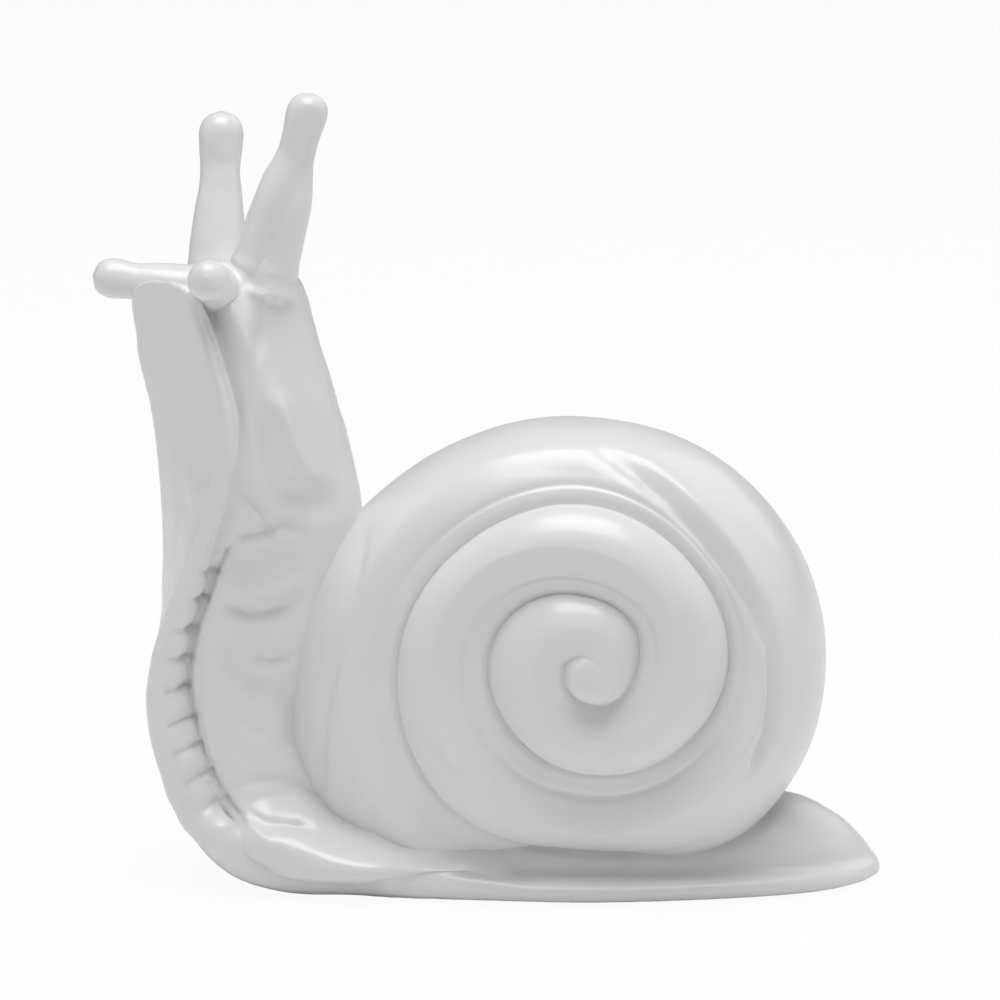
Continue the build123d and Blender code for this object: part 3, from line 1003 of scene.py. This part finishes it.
@dataclass
class Shell:
    """The coiled shell: a rounded form with a spiral groove that divides the whorls.

    Outline is the form's reach at equal steps round the coil. Near and far are its profile, as
    shares of that reach and of the depth on each side. The groove, the rolls inside it and the
    ledges outside it have an entry for each groove_step, from the apex outwards.
    """

    apex: tuple = (7.5, -16.0, 44.0)
    yaw: float = 6.0
    tilt: float = 5.0
    radius: float = 45.0
    shift: tuple = (4.8, 5.0)
    outline: tuple = (0.985, 0.935, 0.89, 0.93, 1.085, 1.2, 0.86, 0.98)
    near_depth: float = 13.5
    far_depth: float = 43.5
    near: tuple = ((0.0, 1.02), (0.1, 1.0), (0.33, 0.93), (0.53, 0.8), (0.74, 0.52), (0.89, 0.11))
    far: tuple = (
        (0.98, 0.15), (1.0, 0.35), (0.96, 0.58), (0.84, 0.76), (0.62, 0.9), (0.35, 0.98), (0.1, 1.0),
        (0.0, 1.0),
    )
    near_rows: float = 0.78
    seat_floor: float = 3.4

    groove_from: float = -180.0
    groove_step: float = 45.0
    groove_radius: tuple = (
        3.2, 4.2, 6.0, 8.1, 9.2, 11.8, 13.2, 15.4, 16.9, 17.9, 21.2, 23.2, 26.2, 27.4, 29.6, 30.7, 33.2,
        36.4, 38.6,
    )
    groove_depth: tuple = (
        2.0, 2.5, 3.0, 3.5, 3.8, 4.0, 4.3, 4.5, 4.6, 4.8, 5.0, 5.1, 5.0, 4.6, 4.3, 4.0, 3.6, 3.4, 3.4,
    )
    roll_width: tuple = (
        2.6, 3.4, 4.4, 5.4, 6.4, 7.4, 8.2, 8.4, 8.4, 8.0, 7.8, 7.8, 7.8, 7.8, 7.8, 7.6, 7.6, 7.6, 7.8,
    )
    ledge_width: tuple = (
        5.0, 5.2, 5.4, 5.8, 6.2, 7.0, 8.0, 8.8, 9.2, 9.8, 9.6, 7.4, 5.0, 4.4, 4.8, 6.8, 8.5, 9.5, 9.5,
    )
    groove_starts: tuple = (-4.0, 0.0)
    groove_ends: tuple = (0.8, -0.2)
    roll_slant: float = 0.7
    roll_round: float = 0.3
    ledge_hollow: float = 1.2
    ledge_fullness: float = 0.7
    cut_depth: float = 0.7
    cut_width: float = 0.6
    cut_from: tuple = (0.5, 3.0)
    crease_share: float = 0.07
    crease_place: float = 0.42
    crease_width: float = 0.06
    crease_starts: tuple = (3.0, 5.0)
    relief_levels: tuple = (-9.0, -1.0)
    lump_height: float = 0.12
    lump_size: float = 9.0
    lump_seed: float = 5.0
    folds: tuple = (
        Fold(1.7, 1.0, (
            (7.5, 79.0), (11.5, 78.0), (16.0, 76.0), (21.5, 72.3), (27.6, 66.2), (32.6, 59.6), (36.4, 52.6),
            (38.4, 45.4), (38.6, 38.0), (37.8, 31.0), (35.0, 24.6),
        )),
        Fold(0.8, 1.0, ((-29.7, 67.8), (-33.2, 49.6), (-37.0, 36.3), (-38.3, 26.0), (-38.9, 14.0))),
        Fold(0.5, 1.0, ((-21.6, 33.0), (-17.2, 26.6), (-12.0, 22.6))),
    )
    rows: int = 270
    columns: int = 320
    slope_step: float = 0.01
    seat_from: float = 0.3
    seat_rows: int = 100
    seat_columns: int = 200

    def axes(self) -> Rows:
        """Works out the coil's own directions.

        Returns:
            The way across towards the tail, the way up, and the way out along the axis.
        """
        yaw, tilt = math.radians(self.yaw), math.radians(self.tilt)
        out = np.array([-math.sin(yaw), -math.cos(yaw), 0.0])
        up = np.array([0.0, 0.0, 1.0])
        return np.array([
            [math.cos(yaw), -math.sin(yaw), 0.0],
            up * math.cos(tilt) + out * math.sin(tilt),
            out * math.cos(tilt) - up * math.sin(tilt),
        ])

    def relief(self, flat: Rows) -> Rows:
        """How far the whorls' surface lies below the rounded form at points of the coil's plane.

        The whorl inside the groove is a roll, and outside it lies a ledge with a weak crease.

        Args:
            flat: The points, by their way across and up from the coil's axis.

        Returns:
            One depth for each point.
        """
        reach = np.linalg.norm(flat, axis=1)
        angle = np.degrees(np.arctan2(flat[:, 1], flat[:, 0])) % 360
        fall = np.zeros(len(flat))
        last = len(self.groove_radius) - 1
        for lap in (-1, 0, 1):
            place = (angle + lap * 360 - self.groove_from) / self.groove_step
            ends = ease(place, *(last + past for past in self.groove_ends))
            there = ease(place, *self.groove_starts) * ends
            away = reach - along(self.groove_radius, place)
            depth = along(self.groove_depth, place)
            wall = 1 - np.clip(-away / along(self.roll_width, place), 0, 1)
            roll = self.roll_slant * wall**2 + self.roll_round * (1 - np.sqrt(1 - wall**2))
            step = np.clip(away / along(self.ledge_width, place), 0, 1)
            shelf = (1 - step) ** self.ledge_hollow * (1 + self.ledge_fullness * step)
            crease = self.crease_share * bell(step - self.crease_place, self.crease_width)
            crease = crease * ease(place, *self.crease_starts)
            cut = self.cut_depth * bell(away, self.cut_width) * ease(depth, *self.cut_from)
            fall += (np.where(away < 0, roll, shelf + crease) * depth + cut) * there
        return fall

    def place(self, share: Rows, turn: Rows) -> Rows:
        """Works out points of the shell.

        Args:
            share: Their shares of the way from the apex to the middle of the far side.
            turn: Their shares of a turn round the coil.

        Returns:
            The points.
        """
        profile = [(scale, level * self.near_depth) for scale, level in self.near]
        profile += [(scale, -level * self.far_depth) for scale, level in self.far]
        rim = len(self.near)
        last = len(profile) - 1
        near = share / self.near_rows
        far = (share - self.near_rows) / (1 - self.near_rows)
        step = np.where(share < self.near_rows, near * rim, rim + far * (last - rim))
        spin = turn * 2 * np.pi
        ray = np.stack([np.cos(spin), np.sin(spin)], axis=1)
        reach = self.radius * around(self.outline, turn)

        def spot(where: Rows) -> Rows:
            """Points of the rounded form in the coil's own directions.

            Args:
                where: Their places in the profile, counted in entries.

            Returns:
                The points.
            """
            scale, level = along(profile, where).T
            flat = (ray * reach[:, None] - np.array(self.shift)) * np.maximum(scale, 0)[:, None]
            return np.concatenate([flat, level[:, None]], axis=1)

        point = spot(step)
        ahead, back = np.minimum(step + self.slope_step, last), np.maximum(step - self.slope_step, 0)
        slope = spot(ahead) - spot(back)
        run, drop = (slope[:, :2] * ray).sum(1), slope[:, 2]
        length = np.hypot(run, drop) + 1e-9
        normal = np.concatenate([ray * (-drop / length)[:, None], (run / length)[:, None]], axis=1)
        axes = self.axes()
        world = np.array(self.apex) + point @ axes
        fall = self.relief(point[:, :2]) + sum(fold.fall(world) for fold in self.folds)
        fall = fall * ease(point[:, 2], *self.relief_levels)
        fall = fall + wander(world, self.lump_size, self.lump_seed) * self.lump_height
        return world - (normal * fall[:, None]) @ axes

    def build(self, finish: bpy.types.Material) -> bpy.types.Object:
        """Makes the finished shell.

        Args:
            finish: Its material.

        Returns:
            The piece.
        """
        skin = grid_skin(self.rows, self.columns, self.place)
        everything = skin.verts[:] + skin.edges[:] + skin.faces[:]
        bmesh.ops.bisect_plane(
            skin, geom=everything, plane_co=(0, 0, self.seat_floor), plane_no=(0, 0, 1), clear_inner=True
        )
        close_holes(skin)
        return placed(mesh_of(skin, "coiled_shell"), "coiled_shell", finish, Slot.RESIN, "shell")

    def points(self) -> Rows:
        """Works out points all over the shell, for what fits round it.

        Returns:
            The points.
        """
        turns = np.linspace(0, 1, self.seat_columns, endpoint=False)
        share, turn = np.meshgrid(np.linspace(self.seat_from, 1, self.seat_rows), turns)
        return self.place(share.ravel(), turn.ravel())


@dataclass
class Tentacle:
    """A tapered tentacle with a rounded knob, whose root sits in the head.

    Taper gives how much of the base's spread is left, at shares of the way up to the waist.
    """

    name: str
    node: str
    seat: Vector
    direction: Vector
    length: float
    root: float
    base: float
    waist: float
    drop: float
    tip: float
    taper: tuple
    collar_height: float
    furrow: Fold | None = None
    collar_foot: float = 1.1
    collar_top: float = 0.2
    root_share: float = 0.72
    root_taper: float = 0.125
    furrow_facing: tuple = (0.1, 0.7)
    lump_height: float = 0.15
    lump_drop: float = 0.1
    lump_size: float = 3.5
    lump_seed: float = 7.0
    rows: int = 72
    columns: int = 56

    def outline(self) -> list[tuple[float, float]]:
        """Works out half the outline.

        Returns:
            Its corners from root to tip, as radius and height.
        """
        waist = self.length - self.drop
        spread = self.base - self.waist
        knob = self.tip * math.cos(math.pi / 4)
        return [
            (0.0, -self.root), (self.base * self.root_share, -self.root),
            (self.base, -self.root * self.root_taper),
            *((self.waist + spread * share, waist * place) for place, share in self.taper),
            (self.waist, waist), (self.tip, self.length), (knob, self.length + knob),
            (0.0, self.length + self.tip),
        ]

    def placing(self) -> Matrix:
        """Where the tentacle stands and how it leans."""
        lean = self.direction.to_track_quat("Z", "Y").to_matrix().to_4x4()
        return Matrix.Translation(self.seat) @ lean

    def collar(self) -> Skin:
        """Makes the swelling of the head round the root.

        Returns:
            Its skin.
        """
        skin = bmesh.new()
        depth = self.root + self.collar_height
        foot, top = self.base + self.collar_foot, self.waist - self.collar_top
        bmesh.ops.create_cone(
            skin, cap_ends=True, segments=self.columns, radius1=foot, radius2=top, depth=depth
        )
        lift = Matrix.Translation((0, 0, self.collar_height - depth / 2))
        bmesh.ops.transform(skin, matrix=self.placing() @ lift, verts=skin.verts)
        return skin

    def place(self, share: Rows, turn: Rows) -> Rows:
        """Works out points of the tentacle while it stands upright at the origin.

        Args:
            share: Their shares of the way from root to tip, in corners of the outline.
            turn: Their shares of a turn round it.

        Returns:
            The points.
        """
        outline = self.outline()
        radius, height = along(outline, share * (len(outline) - 1)).T
        radius = np.maximum(radius, 0)
        height = np.minimum(height, self.length + self.tip)
        spin = turn * 2 * np.pi
        return np.stack([radius * np.cos(spin), radius * np.sin(spin), height], axis=1)

    def build(self, finish: bpy.types.Material) -> bpy.types.Object:
        """Makes the finished tentacle.

        Args:
            finish: Its material.

        Returns:
            The piece.
        """
        skin = grid_skin(self.rows, self.columns, self.place)
        bmesh.ops.transform(skin, matrix=self.placing(), verts=skin.verts)
        mesh = mesh_of(skin, self.name)
        points, normals = points_of(mesh)
        lumps = wander(points, self.lump_size, self.lump_seed) * self.lump_height - self.lump_drop
        if self.furrow:
            lumps -= self.furrow.fall(points) * ease(-normals[:, 1], *self.furrow_facing)
        move_points(mesh, points + normals * lumps[:, None])
        return placed(mesh, self.name, finish, Slot.RESIN, self.node)


@dataclass
class Tentacles:
    """The two eye stalks and the two lower feelers on the head.

    A stalk or feeler is a Tentacle's length, root, base, waist, drop and tip.
    """

    casting: Casting
    stalk_spacing: float = 6.4
    stalk_depth: float = 18.0
    stalk_lift: float = 1.5
    stalk_lean: float = 12.5
    stalk_splay: float = 12.0
    left_stalk: tuple = (27.25, 4.0, 5.9, 3.2, 6.85, 3.5)
    right_stalk: tuple = (22.9, 4.0, 5.3, 3.5, 5.8, 3.9)
    feeler_spacing: float = 4.2
    feeler_depth: float = 9.0
    feeler_lift: float = -0.4
    feeler_splay: float = 45.0
    feeler_tilt: float = 18.0
    feeler: tuple = (12.6, 4.0, 4.3, 3.2, 3.5, 3.5)
    left_taper: tuple = ((0.12, 0.9), (0.55, 0.68), (0.8, 0.33))
    right_taper: tuple = ((0.12, 0.95), (0.55, 0.42), (0.8, 0.12))
    feeler_taper: tuple = ((0.12, 0.98), (0.55, 0.6), (0.8, 0.25))
    stalk_collar: float = 7.0
    feeler_collar: float = 4.0
    furrow: Fold = Fold(0.9, 1.5, (
        (-37.6, 135.0), (-39.5, 126.8), (-42.1, 120.9), (-45.2, 114.2), (-47.5, 107.5), (-48.0, 104.0),
    ))

    def pieces(self) -> list[Tentacle]:
        """Sets out the tentacles on the head.

        Returns:
            All four.
        """
        origin, left, inward, _ = self.casting.front_frame(len(self.casting.front_x) - 1)
        up = Vector((0, 0, 1))

        def seat(side: int, spacing: float, depth: float, lift: float) -> Vector:
            """A place on the head, by its way to one side, inwards and up."""
            return origin + left * side * spacing + inward * depth + up * lift

        lean, splay = math.tan(math.radians(self.stalk_lean)), math.tan(math.radians(self.stalk_splay))
        turn, tilt = math.radians(self.feeler_splay), math.tan(math.radians(self.feeler_tilt))
        stalks = (
            (1, "left", (*self.left_stalk, self.left_taper, self.stalk_collar, self.furrow)),
            (-1, "right", (*self.right_stalk, self.right_taper, self.stalk_collar)),
        )
        feeler = (*self.feeler, self.feeler_taper, self.feeler_collar)
        made = []
        for side, hand, stalk in stalks:
            spot = seat(side, self.stalk_spacing, self.stalk_depth, self.stalk_lift)
            way = inward * lean + left * side * splay + up
            made.append(Tentacle("eye_stalk_" + hand, "upper_tentacle_" + hand, spot, way, *stalk))
            spot = seat(side, self.feeler_spacing, self.feeler_depth, self.feeler_lift)
            way = left * side * math.sin(turn) - inward * math.cos(turn) + up * tilt
            made.append(Tentacle("feeler_" + hand, "lower_tentacle_" + hand, spot, way, *feeler))
        return made


@dataclass
class FeltBase:
    """The sheet of felt under the foot, with its own lengths in metres."""

    flat: tuple = (0.0986, 0.0322)
    area: float = 0.00266
    weld: float = 1e-6

    def build(self, finish: bpy.types.Material) -> bpy.types.Object:
        """Makes the felt from the outline of its node.

        Args:
            finish: Its material.

        Returns:
            The piece.
        """
        sheet = bmesh.new()
        sheet.from_mesh(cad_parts["felt_base"].data)
        bmesh.ops.remove_doubles(sheet, verts=sheet.verts, dist=self.weld)
        bmesh.ops.scale(sheet, vec=(1 / MM,) * 3, verts=sheet.verts)
        piece = placed(mesh_of(sheet, "felt_sheet"), "felt_sheet", finish, Slot.FELT, "felt_base")
        return piece


@dataclass(frozen=True)
class Lamp:
    """A soft square lamp: what it points at and where it is, in metres, and its power in watts."""

    name: str
    place: tuple
    power: float
    target: tuple = (0.0, 0.0, 0.06)
    size: float = 0.8

    def hang(self) -> None:
        """Adds the lamp to the scene."""
        data = bpy.data.lights.new(self.name, "AREA")
        data.size = self.size
        data.energy = self.power
        lamp = added(self.name, data)
        lamp.location = self.place
        way = Vector(self.target) - Vector(self.place)
        lamp.rotation_euler = way.to_track_quat("-Z", "Y").to_euler()


@dataclass
class Studio:
    """The floor, the soft lamps, the white surroundings and the camera."""

    lamps: tuple = (
        Lamp("overhead", (0.0, -0.15, 1.1), 8.6, target=(0.0, 0.0, 0.05)),
        Lamp("left_side", (-1.1, 0.05, 0.4), 0.7),
        Lamp("right_side", (1.1, 0.05, 0.4), 0.9),
        Lamp("back_rim", (0.7, 0.9, 0.7), 1.2),
    )
    camera_place: tuple = (0.0, -0.73078, 0.23471)
    elevation: float = 13.0
    lens: float = 157.1
    sensor_width: float = 36.0
    shift: tuple = (-0.045, 0.002)
    floor_half_width: float = 3.0
    floor_grey: float = 0.9
    floor_glow: float = 0.94
    ambient: float = 0.3

    def build(self) -> None:
        """Sets up the light and the camera."""
        for lamp in self.lamps:
            lamp.hang()
        self.surroundings()
        self.camera()
        bpy.context.scene.view_settings.view_transform = "Standard"

    def floor(self) -> None:
        """Lays a pale floor, which takes the figurine's shadow."""
        slab = bmesh.new()
        bmesh.ops.create_grid(slab, x_segments=1, y_segments=1, size=self.floor_half_width)
        mesh = mesh_of(slab, "floor")
        paint = Paint.material("pale_floor")
        matt = paint.node("ShaderNodeBsdfDiffuse", {"Color": grey(self.floor_grey)})
        white = paint.node("ShaderNodeEmission", {"Color": grey(1.0), "Strength": 1.0})
        seen = paint.node("ShaderNodeLightPath", out="Is Camera Ray")
        mixed = paint.node("ShaderNodeMixShader", {0: seen * self.floor_glow, 1: matt, 2: white})
        mesh.materials.append(paint.finished(mixed))
        added("floor", mesh)

    def surroundings(self) -> None:
        """Surrounds the scene with even light, which looks white to the camera."""
        paint = Paint(bpy.data.worlds.new("studio"))
        seen = paint.node("ShaderNodeLightPath", out="Is Camera Ray")
        lit = paint.node("ShaderNodeBackground", {"Color": grey(1.0), "Strength": self.ambient})
        white = paint.node("ShaderNodeBackground", {"Color": grey(1.0), "Strength": 1.0})
        mixed = paint.node("ShaderNodeMixShader", {0: seen, 1: lit, 2: white})
        bpy.context.scene.world = paint.finished(mixed)

    def camera(self) -> None:
        """Sets the camera where the picture was taken from."""
        data = bpy.data.cameras.new("camera")
        data.lens = self.lens
        data.sensor_width = self.sensor_width
        data.shift_x, data.shift_y = self.shift
        camera = added("camera", data)
        camera.location = self.camera_place
        camera.rotation_euler = (math.radians(90 - self.elevation), 0, 0)
        bpy.context.scene.camera = camera


def dress_nodes(steel: bpy.types.Material) -> None:
    """Gives the pins and dowels, which stay as they are, their finish.

    Args:
        steel: The finish.
    """
    for name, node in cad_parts.items():
        if "pin" in name or "dowel" in name:
            node.data.materials.clear()
            node.data.materials.append(steel)
            LOG.info("%s: finished", name)


def main() -> None:
    """Builds the figurine and the studio."""
    logging.basicConfig(level=logging.INFO)
    lacquer = Glaze().material()
    casting = Casting()
    tentacles = Tentacles(casting).pieces()
    shell = Shell()
    casting.build(lacquer, [tentacle.collar() for tentacle in tentacles], shell.points())
    shell.build(lacquer)
    for tentacle in tentacles:
        tentacle.build(lacquer)
    studio = Studio()
    studio.floor()
    FeltBase().build(Felt().material())
    dress_nodes(DrawnSteel().material())
    studio.build()


if __name__ == "__main__":
    main()
